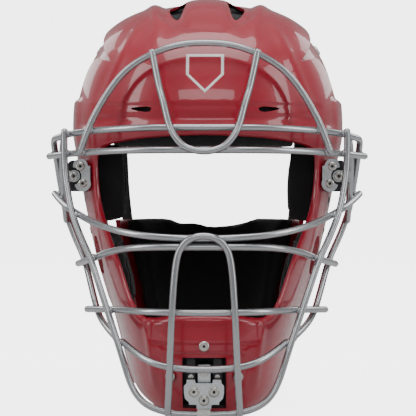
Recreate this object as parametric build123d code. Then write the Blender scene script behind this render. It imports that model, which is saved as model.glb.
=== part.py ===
from build123d import *
import math
import os

# Hockey-style catcher's helmet with a sprung wire face cage.
# The face looks along -Y, +X is to the right of someone facing the helmet, and +Z is up.
# It stands on the chin and on the nape plate at z = 0, with the origin under the middle of its box.
# All sizes are in millimetres. Everything is drawn about the ear line and moved by ORIGIN_Y at the end.

# ---- driving dimensions: the outer skin, as level sections ----
CROWN_TOP = 351.0  # highest point of the crown
CROWN_BASE = 235.0  # level where the crown's dome starts
SIDE_DOME, FRONT_DOME, BACK_DOME = 2.4, 2.1, 2.2  # how square the dome is, seen from each way
# (height, value): half width, reach in front of the ear line, reach behind it, then how square each end is
HALF_WIDTH = ((0, 48), (17, 60), (36, 66.5), (55, 71.5), (90, 81), (123, 91.5), (146, 98), (175, 104.5), (208, 110.5), (235, 115))
FRONT_REACH = ((0, 134), (20, 144), (60, 150), (85, 148), (130, 141), (180, 133), (235, 127))
BACK_REACH = ((0, 96), (60, 106), (110, 115), (160, 123), (200, 129), (235, 132))
FRONT_ROUND = ((0, 2.7), (85, 2.65), (180, 2.35), (235, 2.25))
BACK_ROUND = ((0, 2.9), (90, 2.8), (180, 2.4), (235, 2.1))

SHELL = 4.0  # wall of the front shell
GAP = 0.5  # room between neighbouring layers
REAR_OUT = SHELL + GAP  # depth of the rear shell's outer face under the skin
REAR_IN = REAR_OUT + 3.6
LINER_OUT, LINER_IN = REAR_IN + GAP, 28.0
PAD_OUT = SHELL + GAP
SIDE_PAD_IN = 31.0

WIRE_R = 2.75  # coated steel wire of the cage
TRAVEL = 6.0  # how far the cage can be pushed back on its springs
ORIGIN_Y = 20.9  # moves the drawing so that the box is centred on y = 0

SCREW_R, SCREW_HEAD_R, SCREW_HEAD_H = 1.9, 3.8, 2.3  # M4 button head
CHIN_SCREW_HEAD_R = 4.4
SOCKET_R = 1.45


# ---- the skin ----
def smooth(keys, z):
    """Smooth value at height z through (height, value) keys, level at the top key."""
    z = min(max(z, keys[0][0]), keys[-1][0])
    last = len(keys) - 1
    i = max(k for k in range(last) if z >= keys[k][0])

    def slope(j):
        if j == last:
            return 0.0
        low = max(j - 1, 0)
        return (keys[j + 1][1] - keys[low][1]) / (keys[j + 1][0] - keys[low][0])

    (z0, v0), (z1, v1) = keys[i], keys[i + 1]
    h = z1 - z0
    t = (z - z0) / h
    held = (2 * t**3 - 3 * t**2 + 1) * v0 + (3 * t**2 - 2 * t**3) * v1
    return held + (t**3 - 2 * t**2 + t) * h * slope(i) + (t**3 - t**2) * h * slope(i + 1)


def reach(z, depth):
    """Half width, front reach, back reach and both exponents of the level section at z, depth under the skin."""
    wide, front, back = (smooth(keys, z) - depth for keys in (HALF_WIDTH, FRONT_REACH, BACK_REACH))
    if z > CROWN_BASE:
        t = min((z - CROWN_BASE) / (CROWN_TOP - depth - CROWN_BASE), 0.9999)
        wide, front, back = (
            size * (1 - t**n) ** (1 / n)
            for size, n in ((wide, SIDE_DOME), (front, FRONT_DOME), (back, BACK_DOME))
        )
    return wide, front, back, smooth(FRONT_ROUND, z), smooth(BACK_ROUND, z)


def rim_point(turn, z, depth=0.0):
    """Point of the level section at z. turn is 0 at the right ear, 90 at the back, 270 at the front."""
    wide, front, back, n_front, n_back = reach(z, depth)
    c, s = math.cos(math.radians(turn)), math.sin(math.radians(turn))
    n, long = (n_back, back) if s >= 0 else (n_front, front)
    x = wide * math.copysign(abs(c) ** (2 / n), c) if abs(c) > 1e-9 else 0.0
    y = long * math.copysign(abs(s) ** (2 / n), s)
    return Vector(x, y, z)


def front_y(x, z, depth=0.0):
    """Y of the front of the skin at x, z."""
    wide, front, _, n, _ = reach(z, depth)
    return -front * (1 - min(abs(x) / wide, 1.0) ** n) ** (1 / n)


def side_x(y, z, depth=0.0):
    """Positive x of the skin at y, z."""
    wide, front, back, n_front, n_back = reach(z, depth)
    n, long = (n_back, back) if y >= 0 else (n_front, front)
    return wide * (1 - min(abs(y) / long, 1.0) ** n) ** (1 / n)


def inside(p):
    """Below 1 inside the skin, 1 on it, above 1 outside."""
    wide, front, back, n_front, n_back = reach(p.Z, 0)
    n, long = (n_back, back) if p.Y >= 0 else (n_front, front)
    return (abs(p.X) / wide) ** n + (abs(p.Y) / long) ** n


def outward(p):
    """Unit outward normal of the skin at a point on it."""
    step = 0.05
    axes = (Vector(step, 0, 0), Vector(0, step, 0), Vector(0, 0, step))
    return Vector(*(inside(p + a) - inside(p - a) for a in axes)).normalized()


def seat(p, depth=0.0):
    """Plane on the skin at p, depth under it, facing out."""
    n = outward(p)
    return Plane(p - n * depth, z_dir=n)


def at_skin(side, y, z, depth=0.0):
    """Plane on the skin at y, z on the right (1) or left (-1), depth under it."""
    return seat(Vector(side * side_x(y, z), y, z), depth)


def section(z, depth):
    """Closed level outline, starting at the middle of the back."""
    return Wire(Spline(*(rim_point(90 + turn, z, depth) for turn in range(0, 360, 18)), periodic=True).edges())


made_forms = {}


def form(depth):
    """Solid inside the skin, depth under it, running past the floor so that cuts are clean."""
    if depth not in made_forms:
        rise = CROWN_TOP - depth - CROWN_BASE
        levels = [0, 18, 40, 65, 92, 125, 160, 200, CROWN_BASE]
        levels += [CROWN_BASE + rise * k for k in (0.2, 0.4, 0.58, 0.74, 0.87, 0.95, 0.985)]
        wires = [section(z, depth) for z in levels]
        made_forms[depth] = Solid.make_loft([*wires, Vertex(0, 0, CROWN_TOP - depth)])
    return made_forms[depth]


def layer(outer, inner, zone):
    """The part of a skin-shaped wall between two depths that lies in a zone."""
    return (form(outer) & zone) - form(inner)


# ---- small helpers ----
def side_prism(points, x0=-200.0, x1=200.0):
    """Prism along X whose outline is given as (y, z) points."""
    outline = Polyline(*((0, y, z) for y, z in points), close=True)
    return Pos(x0, 0, 0) * extrude(make_face(outline), amount=x1 - x0, dir=(1, 0, 0))


def front_prism(points, y0, y1):
    """Prism along Y whose outline is given as (x, z) points."""
    outline = Polyline(*((x, 0, z) for x, z in points), close=True)
    return Pos(0, y0, 0) * extrude(make_face(outline), amount=y1 - y0, dir=(0, 1, 0))


def block(x0, x1, y0, y1, z0, z1):
    """Box between two corners."""
    return Pos((x0 + x1) / 2, (y0 + y1) / 2, (z0 + z1) / 2) * Box(x1 - x0, y1 - y0, z1 - z0)


def along_y(x, z, y0, y1, r):
    """Round bar along Y."""
    return Plane((x, y0, z), z_dir=(0, 1, 0)) * Cylinder(r, y1 - y0, align=(Align.CENTER, Align.CENTER, Align.MIN))


def flip(shape):
    """The same piece on the other side."""
    return mirror(shape, about=Plane.YZ)


def both(shape):
    """A piece and its mirror image as one group of solids."""
    return Compound(children=[*shape.solids(), *flip(shape).solids()])


def button_screw(head_plane, length, head_r=SCREW_HEAD_R, shank_r=SCREW_R):
    """Hex-socket button-head screw whose head sits on head_plane, shank going in."""
    head = Cylinder(head_r, SCREW_HEAD_H, align=(Align.CENTER, Align.CENTER, Align.MIN))
    head = fillet(head.edges().sort_by(Axis.Z)[-1], SCREW_HEAD_H * 0.8)
    shank = Pos(0, 0, -length) * Cylinder(shank_r, length + 0.5, align=(Align.CENTER, Align.CENTER, Align.MIN))
    socket = Pos(0, 0, SCREW_HEAD_H - 1.3) * extrude(RegularPolygon(SOCKET_R, 6), amount=3)
    return head_plane * (head + shank - socket)


def spring(x, z, y0, y1, r, wire, turns):
    """Compression spring along Y with its first end at y0."""
    path = Helix((y1 - y0 - 2 * wire) / turns, y1 - y0 - 2 * wire, r)
    coil = sweep(Plane(path @ 0, z_dir=path % 0) * Circle(wire), path=path)
    return Plane((x, y0 + wire, z), z_dir=(0, 1, 0)) * coil


def wire_bar(points):
    """Round wire of straight runs and the largest tangent arcs that its corners leave room for."""
    pts = [Vector(*p) for p in points]
    radii = []
    for a, b, c in zip(pts, pts[1:], pts[2:]):
        turn = math.radians((b - a).get_angle(c - b))
        shorter = min((b - a).length, (c - b).length)
        radii.append(0.45 * shorter / math.tan(turn / 2))
    path = FilletPolyline(*pts, radius=radii)
    return sweep(Plane(path @ 0, z_dir=path % 0) * Circle(WIRE_R), path=path)


def across(half):
    """Points of a wire that runs from one side to the other, from its right half."""
    return [(-x, y, z) for x, y, z in reversed(half) if x > 0] + list(half)


# ---- outlines of the shells ----
# Face opening, seen from the front: (x, z) from the brow's middle down the right side to the chin's middle.
FACE_HALF = ((0, 231), (35, 230), (66, 227), (88, 222), (93.5, 215), (92, 190), (88.5, 168),
             (79.5, 143), (70, 121), (60.5, 92), (54.5, 82.5), (46, 79), (24, 83.5), (0, 85))
FACE_BACK_Y = -22.0  # the opening is cut from the front back to here
# Rear limit of the front shell, seen from the side: (y, z) from the top down.
SHELL_REAR = ((52, 360), (20, 328), (-22, 322), (-86, 291), (-72, 294), (-51, 297), (-46, 265), (-38, 259), (30, 254),
              (62, 244), (64, 200), (58, 158), (52, 120), (36, 66), (16, 44), (-60, 10), (-100, 0), (-110, -20))
REAR_LAP = 14.0  # how far the rear shell runs under the front one
REAR_SHELL_FOOT = 226.0  # lower edge of the rear shell
CHIN_CURVE_R, CHIN_FLAT = 95.0, 1.0  # the chin's lower edge curves up with this radius beside a short flat
PLATE_FRONT = ((68, 158), (62, 120), (50, 60), (42, 24), (42, -10))  # front limit of the nape plate, (y, z)
PLATE_TOP, PLATE_TOP_DIP = 156.0, 8.0

face_outline = [*FACE_HALF, *((-x, z) for x, z in reversed(FACE_HALF[1:-1]))]
face_cut = front_prism(face_outline, -220, FACE_BACK_Y)

front_keep = side_prism([*SHELL_REAR, (-220, -20), (-220, 360)])
chin_round = front_prism([(-90, -30), (90, -30), (90, 60), (-90, 60)], -220, 60) - Plane(
    (0, -220, CHIN_CURVE_R - CHIN_FLAT), z_dir=(0, 1, 0)
) * Cylinder(CHIN_CURVE_R, 320, align=(Align.CENTER, Align.CENTER, Align.MIN))

# ---- where the small features sit ----
CROWN_VENT = ((24, -68), (29, -58), (33, -36), (27, -16), (14, -16), (18.5, -42), (20.5, -60))  # from above, (x, y)
BROW_VENT = ((42.5, 253.6), (61, 252.6), (59, 250.6), (45, 248.2))  # from the front, (x, z)
JAW_VENT = ((-64, 146), (-50, 146), (-44, 118), (-56, 112), (-66, 126))  # from the side, (y, z)
EAR_SLOT = (16.0, 4.0)  # length and width
EAR_SLOTS = ((0, 196), (0, 187), (0, 178), (0, 169))
REAR_SLOT_TURNS = (62, 76, 104, 118)
NOTCH_SLOTS = ((-64, 304.5, 15, 2.6), (-74, 299.5, 9, 4.6))  # y, z, length, width

WINDOW_HALF, WINDOW_LOW, WINDOW_TOP = 17.4, 8.6, 52.5  # opening in the chin for the sprung plate
CHIN_SCREWS = ((0, 62.0), (27.0, 37.0), (-27.0, 37.0))
SIDE_SCREWS = ((-44, 176), (-36, 150))  # y, z on each side
CROWN_SCREW = (10, 307)  # y, z of the screw that ties the rear shell, each side

# Side suspension, right-hand side
COVER_SCREWS = ((104.7, 204.7), (102.8, 190.4))  # x, z
CARRIER = (110.3, 196.5)  # x, z of the moving screw and plunger
COVER_Y, COVER_T = -75.5, 2.5
CARRIER_Y, CARRIER_T = -72.5, 3.0
HOUSING_Y0, HOUSING_Y1 = -62.0, -33.0
BORE_R, PLUNGER_R = 4.3, 1.9

# Chin suspension
PLATE_Y, PLATE_T = -153.6, 2.0
CHIN_SPRING_Z = 41.0
CHIN_ARM_Y = -143.6
CHIN_BACK_Y = -120.0

# Cage wires, right half of each, front to back or bottom to top
PERIMETER = ((9, -156, 8), (28, -155.5, 9.2), (43, -152.5, 13.5), (52.5, -149, 20.5), (59.5, -145, 32),
             (67, -140, 56), (77, -132, 85), (85, -126, 108), (92.5, -120, 130), (101, -114, 147),
             (109.5, -107, 168), (113.5, -101.8, 188), (116.2, -97.8, 210), (116, -96.2, 234))
UPPER_BROW = ((0, -146, 236), (45, -140.5, 236), (85, -119, 234.5), (112.9, -93.3, 231.5), (124, -72, 228.5),
              (129.5, -55, 227), (127, -48, 210), (125.5, -46, 198), (122.8, -45, 182), (120, -46, 166),
              (112.5, -49, 146), (104.5, -54, 130), (100, -60, 117), (94.5, -72, 98), (89, -86, 82),
              (80, -110, 72.5), (71.6, -131.9, 67.3))
LOWER_BROW = ((0, -150, 218), (45, -144, 218), (85, -121.5, 217), (112.9, -95.2, 215), (124.5, -72, 214), (133.4, -47.5, 213))
BROW_ARCH = ((0, -118.5, 305), (22, -118, 303.5), (45, -116.5, 295.5), (66, -114, 282), (82, -113.5, 260.5),
             (95.3, -116.4, 235), (101.6, -113, 216.5))
BROW_LOOP = ((0, -153.6, 216.8), (8, -153.6, 217.6), (16.5, -152.6, 221), (23.8, -150.8, 229),
             (28.4, -147.8, 239), (32.8, -140, 257), (37.5, -131, 272), (42.4, -121.5, 297.5))
CHEEK_UPPER = ((0, -165, 148), (30, -162, 148.8), (58, -151, 151), (86, -128.5, 157.5), (104.8, -105, 166),
               (119, -78, 173), (129.4, -42, 181.3))
CHEEK_LOWER = ((0, -166, 141.5), (30, -162.5, 141.5), (58, -150.5, 140.5), (77, -133, 136.5),
               (88.8, -117.6, 130.8), (98.4, -92, 127), (108.4, -54.5, 122.5))
MOUTH_BAR = ((0, -170, 90), (25, -167.5, 90), (47, -158, 90), (65, -141, 90), (74, -128.8, 89.5), (85.4, -107.2, 88), (99.2, -74, 85.5))
CHIN_BAR = ((0, -168, 45), (22, -166, 46), (38, -161, 48.5), (54, -149, 55.5), (65.8, -134.9, 64))
MOUTH_LOOP = ((0, -169.3, 150.8), (8, -169.3, 149.6), (16.5, -168.9, 144), (22, -168.6, 132), (24.8, -172.3, 90),
              (26.4, -170.5, 47), (28.6, -160.3, 9.5))
SIDE_BRACE = ((118.6, -73, 229.5), (121.0, -69, 213), (120.4, -66, 193), (119.3, -60, 172), (118.5, -52, 159))


# ---- shells ----
def slot_on_side(y, z, length, width, tilt=0.0):
    """Rounded slot cut straight through both sides."""
    cutter = extrude(SlotOverall(length, width), amount=400)
    return Pos(-200, y, z) * Rot(tilt, 0, 0) * Plane.YZ * cutter


def front_shell():
    window = front_prism([(-WINDOW_HALF, WINDOW_LOW), (WINDOW_HALF, WINDOW_LOW),
                          (WINDOW_HALF, WINDOW_TOP), (-WINDOW_HALF, WINDOW_TOP)], -220, -100)
    cuts = [side_prism(JAW_VENT), fillet(window.edges().filter_by(Axis.Y), 3.5)]
    for side in (1, -1):
        vent = Polyline(*((side * x, y, 300) for x, y in CROWN_VENT), close=True)
        cuts.append(extrude(make_face(vent), amount=80, dir=(0, 0, 1)))
        cuts.append(front_prism([(side * x, z) for x, z in BROW_VENT], -220, -60))
        cuts.append(seat(side_strap_point(side, SIDE_RIVET_YS[0])) * Cylinder(2.2, 24))
        for y, z in SIDE_SCREWS:
            cuts.append(at_skin(side, y, z) * Cylinder(2.1, 24))
    for y, z in EAR_SLOTS:
        cuts.append(slot_on_side(y, z, *EAR_SLOT))
    for x, z in CHIN_SCREWS:
        cuts.append(seat(Vector(x, front_y(x, z), z)) * Cylinder(2.2, 24))
    return ((form(0) - form(SHELL)) & front_keep) - face_cut - chin_round - cuts


def rear_shell():
    keep = [(y - REAR_LAP, z) for y, z in SHELL_REAR[:3]]
    keep += [(-98, 298), (-96, 281), (-62, 281), (-60, 252), (16, 243), (40, 236), (44, REAR_SHELL_FOOT)]
    keep += [(220, REAR_SHELL_FOOT), (220, 360)]
    cuts = []
    for y, z, length, width in NOTCH_SLOTS:
        cuts.append(slot_on_side(y, z, length, width, tilt=-82))
    for turn in REAR_SLOT_TURNS:
        cuts.append(seat(rim_point(turn, 276)) * Rot(0, 0, 90) * extrude(SlotOverall(26, 6), amount=20, both=True))
    for side in (1, -1):
        cuts.append(at_skin(side, *CROWN_SCREW) * Cylinder(2.1, 30))
        cuts.append(seat(strap_point(side, STRAP_TOP_Z - 8)) * Cylinder(2.2, 30))
    return layer(REAR_OUT, REAR_IN, side_prism(keep)) - cuts


# ---- straps and nape plate ----
STRAP_TURN = 43.0  # where the upright strap stands round the level section
STRAP_TOP_Z, STRAP_LOW_Z = 252.0, 128.0
STRAP_HALF_W = 9.5
STRAP_OUT, STRAP_IN = 2.3, 4.0
SIDE_STRAP_Z = (74.0, 92.0)
SIDE_STRAP_OUT = -2.2
SIDE_RIVET_YS = (33.0, 69.0)


def strap_point(side, z):
    p = rim_point(STRAP_TURN, z)
    return Vector(side * p.X, p.Y, z)


def upright_strap():
    """Elastic strap from the nape plate's top corner up over the rear shell's edge, right side."""
    p = rim_point(STRAP_TURN, 190)
    across_dir = Vector(-p.Y, p.X, 0).normalized()
    frame = Plane((p.X, p.Y, STRAP_LOW_Z), x_dir=across_dir, z_dir=(0, 0, 1))
    band = frame * Box(2 * STRAP_HALF_W, 70, STRAP_TOP_Z - STRAP_LOW_Z, align=(Align.CENTER, Align.CENTER, Align.MIN))
    strap = layer(STRAP_OUT, STRAP_IN, band)
    for z in (STRAP_TOP_Z - 8, STRAP_LOW_Z + 8):
        strap -= seat(strap_point(1, z)) * Cylinder(2.2, 30)
    return strap


def side_strap():
    """Elastic strap from the jaw back to the nape plate's wing, right side."""
    low, high = SIDE_STRAP_Z
    strap = layer(SIDE_STRAP_OUT, SIDE_STRAP_OUT + 1.7, block(0, 200, 24, 78, low, high))
    for y in SIDE_RIVET_YS:
        strap -= seat(side_strap_point(1, y)) * Cylinder(2.2, 30)
    return strap


def plate_keep(inset=0.0):
    front = [(y + inset, z) for y, z in PLATE_FRONT]
    top = PLATE_TOP - inset
    outline = [(front[0][0], top + 10), *front[1:-1], (front[-1][0], inset - (0 if inset else 10))]
    outline += [(220, inset - (0 if inset else 10)), (220, top + 10)]
    dip = Plane((0, 0, top + 120 - PLATE_TOP_DIP), z_dir=(0, 1, 0)) * Cylinder(120, 200, align=(Align.CENTER, Align.CENTER, Align.MIN))
    return side_prism(outline) - dip - block(-200, 200, 0, 220, top, 400)


def nape_plate():
    cuts = []
    for side in (1, -1):
        cuts.append(seat(strap_point(side, STRAP_LOW_Z + 8)) * Cylinder(2.2, 30))
        cuts.append(seat(side_strap_point(side, SIDE_RIVET_YS[1])) * Cylinder(2.2, 30))
    for x in (-26, 26):
        cuts.append(Pos(x, 60, 84) * Plane.XZ * extrude(SlotOverall(34, 7).rotate(Axis.Z, 90), amount=-100))
    return layer(REAR_OUT, REAR_IN, plate_keep()) - cuts


def side_strap_point(side, y):
    z = sum(SIDE_STRAP_Z) / 2
    return Vector(side * side_x(y, z), y, z)


def nape_pad():
    return layer(LINER_OUT, 21.0, plate_keep(inset=4.0))


# ---- pads ----
def crown_liner():
    zone = block(-200, 200, -70, 220, 232, 400) + block(-200, 200, -200, -70, 262, 400)
    cuts = []
    for x in (-26, 26):
        for y in (-30, 12, 54):
            cuts.append(Pos(x, y, 340) * extrude(SlotOverall(26, 9).rotate(Axis.Z, 90), amount=60, both=True))
    return layer(LINER_OUT, LINER_IN, zone) - cuts


def crown_pad():
    zone = Pos(0, 6, 330) * Cylinder(46, 60)
    return layer(LINER_IN + GAP, 37.0, zone)


def forehead_pad():
    zone = block(-74, 74, -200, -71, 219, 261)
    return layer(PAD_OUT, 25.0, zone)


def side_pad():
    """Ear and temple pad, right side: its foot is round."""
    outline = [(-64, 225), (44, 225), (44, 176), (30, 163), (-50, 163), (-60, 172)]
    return layer(PAD_OUT, SIDE_PAD_IN, side_prism(outline, 0, 200))


def jaw_pad():
    outline = [(-72, 140), (34, 152), (34, 118), (22, 84), (-60, 84), (-78, 104)]
    return layer(PAD_OUT, 19.0, side_prism(outline, 0, 200))


def chin_pad():
    return layer(PAD_OUT, 16.0, block(-40, 40, -200, -90, 70.5, 84))


# ---- side suspension, right side ----
def post(x, z):
    return along_y(x, z, COVER_Y + COVER_T, HOUSING_Y0 + 1, 3.6)


def side_housing():
    body = block(90, 116.5, HOUSING_Y0, HOUSING_Y1, 183.5, 209.5)
    body = fillet(body.edges().filter_by(Axis.Y).sort_by(Axis.X)[-2:], 4)
    body -= form(-0.15)
    for x, z in COVER_SCREWS:
        body += post(x, z) - form(-0.15)
        body -= along_y(x, z, COVER_Y, HOUSING_Y0 + 8, SCREW_R + 0.15)
    x, z = CARRIER
    body -= along_y(x, z, HOUSING_Y0 - 1, HOUSING_Y1 - 9, BORE_R)
    body -= along_y(x, z, HOUSING_Y0, HOUSING_Y1 + 1, PLUNGER_R + 0.25)
    body -= block(x + 2, 130, HOUSING_Y0 + 3, HOUSING_Y1 - 11, z - 2.6, z + 2.6)
    return body.solids().sort_by(SortBy.VOLUME)[-1]


def side_cover():
    (xa, za), (xb, zb) = COVER_SCREWS
    outline = Pos(xa, za) * Circle(6.2) + Pos(xb, zb) * Circle(6.8)
    outline += Pos((97.8 + xb) / 2, (za + zb) / 2) * Rectangle(xb - 97.8 + 2.4, 15)
    outline -= Pos(CARRIER[0] + 0.8, CARRIER[1]) * Circle(7.2)
    outline -= Pos(xa, za) * Circle(SCREW_R + 0.15) + Pos(xb, zb) * Circle(SCREW_R + 0.15)
    plate = Plane((0, COVER_Y + COVER_T, 0), x_dir=(1, 0, 0), z_dir=(0, -1, 0)) * extrude(outline, amount=COVER_T)
    return plate.solids().sort_by(SortBy.VOLUME)[-1]


def carrier():
    """Moving lug on the cage that the plunger is screwed to."""
    x, z = CARRIER
    outline = Pos(x, z) * Circle(5.0) + Pos((x + 120.5) / 2, z) * Rectangle(120.5 - x, 9)
    outline -= Pos(x, z) * Circle(SCREW_R + 0.15)
    return Plane((0, CARRIER_Y + CARRIER_T, 0), x_dir=(1, 0, 0), z_dir=(0, -1, 0)) * extrude(outline, amount=CARRIER_T)


def plunger():
    x, z = CARRIER
    start = CARRIER_Y + CARRIER_T
    rod = along_y(x, z, start, HOUSING_Y1 - TRAVEL - 1, PLUNGER_R) + along_y(x, z, start, start + 1.2, 3.4)
    return rod - along_y(x, z, start - 1, start + 8, 1.2)


def carrier_screw():
    x, z = CARRIER
    head_plane = Plane((x, CARRIER_Y, z), z_dir=(0, -1, 0))
    return button_screw(head_plane, CARRIER_T + 5, shank_r=1.1)


def side_spring():
    x, z = CARRIER
    return spring(x, z, CARRIER_Y + CARRIER_T + 1.3, HOUSING_Y1 - 9.1, 3.1, 0.55, 9)


# ---- chin suspension ----
def chin_housing():
    cup = block(-22.5, 22.5, -160, CHIN_BACK_Y + 3.5, 10.5, 57) & form(SHELL + 0.3)
    cup -= block(-18.6, 18.6, -170, CHIN_BACK_Y, 13, 54)
    ears = layer(SHELL + 0.3, SHELL + 3.3, block(-34, 34, -200, -100, 30, 68))
    ears -= block(-18.6, 18.6, -170, CHIN_BACK_Y, 13, 54)
    housing = cup + ears
    housing -= along_y(0, CHIN_SPRING_Z, CHIN_BACK_Y - 1, CHIN_BACK_Y + 5, 2.6)
    for x, z in CHIN_SCREWS:
        housing -= seat(Vector(x, front_y(x, z), z)) * Cylinder(2.2, 24)
    return housing


def guide_rails():
    rail = block(7.2, 14, CHIN_ARM_Y, CHIN_BACK_Y - 0.05, 33.5, 51.5)
    rail = fillet(rail.edges().filter_by(Axis.Y), 1.2) - along_y(10.6, 36.8, -150, -136, 1.3)
    return both(rail)


def rail_screws():
    head = Plane((10.6, CHIN_ARM_Y, 36.8), z_dir=(0, -1, 0))
    return both(head * (Cylinder(2.1, 1.4, align=(Align.CENTER, Align.CENTER, Align.MIN))
                        + Pos(0, 0, -7) * Cylinder(1.15, 7.2, align=(Align.CENTER, Align.CENTER, Align.MIN))))


def chin_plate():
    points = [(5.8, 12.3), (5.8, 15.4), (11.4, 17.2), (15, 20.5), (15.9, 25), (15.9, 30.5), (14, 32.6),
              (13.6, 35.6), (7.2, 35.6), (6.6, 32.8)]
    outline = [*points, *((-x, z) for x, z in reversed(points))]
    plate = front_prism(outline, PLATE_Y, PLATE_Y + PLATE_T)
    for x, z in CHIN_PLATE_SCREWS:
        plate -= along_y(x, z, PLATE_Y - 1, PLATE_Y + 4, SCREW_R + 0.15)
    return plate


CHIN_PLATE_SCREWS = ((8.0, 26.0), (-8.0, 26.0), (0, 19.2))


def chin_slider():
    """Moving block behind the plate, with the arm that pushes the spring."""
    y0 = PLATE_Y + PLATE_T
    slider = block(-12, 12, y0, -140, 15.5, 31.5) + block(-5, 5, y0 + 4, CHIN_ARM_Y + 2.5, 31, 47)
    for x, z in CHIN_PLATE_SCREWS:
        slider -= along_y(x, z, y0 - 1, y0 + 9, SCREW_R + 0.15)
    slider -= along_y(0, CHIN_SPRING_Z, -150, -130, 2.3)
    return slider


def chin_plunger():
    """Rod through the spring, with a nut in front of the arm."""
    rod = along_y(0, CHIN_SPRING_Z, CHIN_ARM_Y - 6, CHIN_BACK_Y + 2.5, 2.2)
    nut = Plane((0, CHIN_ARM_Y - 6.0, CHIN_SPRING_Z), z_dir=(0, 1, 0)) * extrude(RegularPolygon(4.4, 6), amount=2.0)
    return rod + nut


def chin_clamp():
    """Sleeve round the cage's bottom wire, hanging from the plate's tab."""
    x_axis = Plane((-5.0, PERIMETER[0][1], PERIMETER[0][2]), z_dir=(1, 0, 0))
    ring = x_axis * (Cylinder(WIRE_R + 1.7, 10, align=(Align.CENTER, Align.CENTER, Align.MIN))
                     - Cylinder(WIRE_R + 0.05, 10, align=(Align.CENTER, Align.CENTER, Align.MIN)))
    tab = block(-5, 5, PLATE_Y + PLATE_T + 0.05, PLATE_Y + PLATE_T + 2, 11, 15.4)
    return ring + tab


# ---- fasteners ----
def snap(plane, length=5.4):
    """Domed snap stud: a cap outside the strap and a post through it."""
    cap = Cylinder(6.0, 2.6, align=(Align.CENTER, Align.CENTER, Align.MIN))
    cap = fillet(cap.edges().sort_by(Axis.Z)[-1], 1.8)
    return plane * (cap + Pos(0, 0, -length) * Cylinder(2.0, length + 1, align=(Align.CENTER, Align.CENTER, Align.MIN)))


def group(items):
    return Compound(children=[s for item in items for s in item.solids()])


# ---- write every piece ----
SIDES = (("right", lambda s: s), ("left", flip))
pieces = {
    "front_shell": front_shell(),
    "rear_shell": rear_shell(),
    "crown_liner": crown_liner(),
    "crown_pad": crown_pad(),
    "forehead_pad": forehead_pad(),
    "chin_pad": chin_pad(),
    "nape_plate": nape_plate(),
    "nape_pad": nape_pad(),
    "chin_housing": chin_housing(),
    "chin_guide_rails": guide_rails(),
    "chin_rail_screws": rail_screws(),
    "chin_spring": spring(0, CHIN_SPRING_Z, CHIN_ARM_Y + 2.6, CHIN_BACK_Y - 0.1, 5.4, 0.9, 7),
    "chin_plate": chin_plate(),
    "chin_slider": chin_slider(),
    "chin_plunger": chin_plunger(),
    "chin_clamp": chin_clamp(),
    "chin_plate_screws": group(button_screw(Plane((x, PLATE_Y, z), z_dir=(0, -1, 0)), 9, CHIN_SCREW_HEAD_R)
                               for x, z in CHIN_PLATE_SCREWS),
    "chin_housing_screws": group(button_screw(seat(Vector(x, front_y(x, z), z)), 9, CHIN_SCREW_HEAD_R)
                                 for x, z in CHIN_SCREWS),
    "side_pad_screws": group(button_screw(at_skin(side, y, z), 3.9) for y, z in SIDE_SCREWS for side in (1, -1)),
    "crown_screws": group(button_screw(at_skin(side, *CROWN_SCREW, REAR_OUT), 4.0, 4.8) for side in (1, -1)),
    "strap_snaps": group(
        snap(seat(strap_point(side, STRAP_TOP_Z - 8), STRAP_OUT - 0.1)) for side in (1, -1)
    ),
    "strap_rivets": group(
        snap(seat(strap_point(side, STRAP_LOW_Z + 8), STRAP_OUT - 0.1)) for side in (1, -1)
    ),
    "side_strap_rivets": group(
        snap(seat(side_strap_point(side, SIDE_RIVET_YS[0]), SIDE_STRAP_OUT - 0.1), 5.9) for side in (1, -1)
    ),
    "nape_strap_rivets": group(
        snap(seat(side_strap_point(side, SIDE_RIVET_YS[1]), SIDE_STRAP_OUT - 0.1), 10.0) for side in (1, -1)
    ),
    "perimeter_wire": wire_bar(across(PERIMETER)),
    "upper_brow_wire": wire_bar(across(UPPER_BROW)),
    "lower_brow_wire": wire_bar(across(LOWER_BROW)),
    "brow_arch_wire": wire_bar(across(BROW_ARCH)),
    "brow_loop_wire": wire_bar(across(BROW_LOOP)),
    "upper_cheek_wire": wire_bar(across(CHEEK_UPPER)),
    "lower_cheek_wire": wire_bar(across(CHEEK_LOWER)),
    "mouth_wire": wire_bar(across(MOUTH_BAR)),
    "chin_wire": wire_bar(across(CHIN_BAR)),
    "mouth_loop_wire": wire_bar(across(MOUTH_LOOP)),
    "side_brace_wires": both(wire_bar(SIDE_BRACE)),
}
handed = {
    "side_pad": side_pad(),
    "jaw_pad": jaw_pad(),
    "upright_strap": upright_strap(),
    "side_strap": side_strap(),
    "side_housing": side_housing(),
    "side_cover": side_cover(),
    "side_carrier": carrier(),
    "side_plunger": plunger(),
    "side_spring": side_spring(),
    "carrier_screw": carrier_screw(),
    "cover_screws": group(button_screw(Plane((x, COVER_Y, z), z_dir=(0, -1, 0)), COVER_T + 14) for x, z in COVER_SCREWS),
}
for name, shape in handed.items():
    for side_name, place in SIDES:
        pieces[f"{name}_{side_name}"] = place(shape)

os.makedirs("parts", exist_ok=True)
for name, shape in pieces.items():
    export_step(Pos(0, ORIGIN_Y, 0) * shape, f"parts/{name}.step")
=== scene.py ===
import bpy
import bmesh
import math
import numpy as np
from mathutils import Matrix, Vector
from mathutils.bvhtree import BVHTree


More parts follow.
